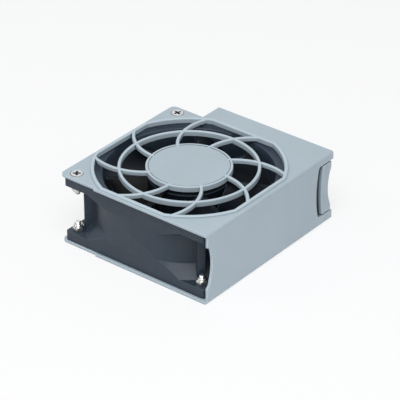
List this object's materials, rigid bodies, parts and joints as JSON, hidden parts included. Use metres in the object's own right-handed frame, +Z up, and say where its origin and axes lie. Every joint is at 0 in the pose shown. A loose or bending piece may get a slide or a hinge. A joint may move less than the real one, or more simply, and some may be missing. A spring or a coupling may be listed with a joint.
{
  "type": "server fan module",
  "caption": "Hot-swap axial fan in a U-shaped moulded carrier with a spiral finger guard, a finger notch, a sprung side latch and a blind-mate connector.",
  "frame": {"origin": "on the fan's axis, on the underside of the bottom plate", "axes": "+Z up along the fan's axis, towards the finger guard; +X towards the side wall; +Y towards the latch and the connector"},
  "size_m": [0.0971, 0.1097, 0.0422],
  "materials": {
    "carrier_plastic": "fine-textured moulded plastic",
    "latch_plastic": "fine-textured moulded plastic",
    "frame_plastic": "matt glass-filled plastic",
    "impeller_plastic": "semi-matt glass-filled plastic",
    "yoke_steel": "zinc-plated pressed steel",
    "magnet": "bonded ferrite",
    "bush_brass": "turned brass",
    "shaft_steel": "ground steel",
    "bearing_steel": "polished bearing steel",
    "spring_steel": "spring steel",
    "tube_brass": "turned brass",
    "core_steel": "stacked silicon-steel laminations",
    "insulator_plastic": "moulded insulator",
    "copper": "enamelled copper wire",
    "board": "green solder mask",
    "chips": "moulded epoxy",
    "screw_steel": "bright nickel plate",
    "nut_steel": "bright nickel plate",
    "connector_plastic": "black moulded plastic",
    "contact_metal": "gold-flashed brass"
  },
  "bodies": {
    "module": {"carrier_shell": "carrier_plastic", "fan_frame": "frame_plastic", "lower_bearing_outer_race": "bearing_steel", "upper_bearing_outer_race": "bearing_steel", "bearing_tube": "tube_brass", "stator_core": "core_steel", "stator_insulators": "insulator_plastic", "stator_windings": "copper", "motor_board": "board", "board_components": "chips", "bottom_screws": "screw_steel", "top_screws": "screw_steel", "bottom_nuts": "nut_steel", "top_nuts": "nut_steel", "connector_housing": "connector_plastic", "connector_contacts": "contact_metal"},
    "rotor": {"impeller": "impeller_plastic", "rotor_yoke": "yoke_steel", "magnet_ring": "magnet", "rotor_bush": "bush_brass", "rotor_shaft": "shaft_steel", "shaft_clip": "spring_steel", "lower_bearing_inner_race": "bearing_steel", "lower_bearing_balls": "bearing_steel", "upper_bearing_inner_race": "bearing_steel", "upper_bearing_balls": "bearing_steel", "preload_spring": "spring_steel"},
    "latch": {"latch_lever": "latch_plastic", "latch_spring": "spring_steel"}
  },
  "joints": [
    {"name": "impeller_spin", "type": "hinge", "parent": "module", "child": "rotor", "pos_m": [0, 0, 0.02], "axis": [0, 0, 1], "continuous": true},
    {"name": "latch_squeeze", "type": "hinge", "parent": "module", "child": "latch", "pos_m": [0.004, 0.054, 0.0205], "axis": [0, 0, -1], "range_deg": [0, 3.4], "stiffness_Nm_per_rad": 0.8, "springref_deg": -3.44, "deforming": ["latch_spring"]}
  ]
}
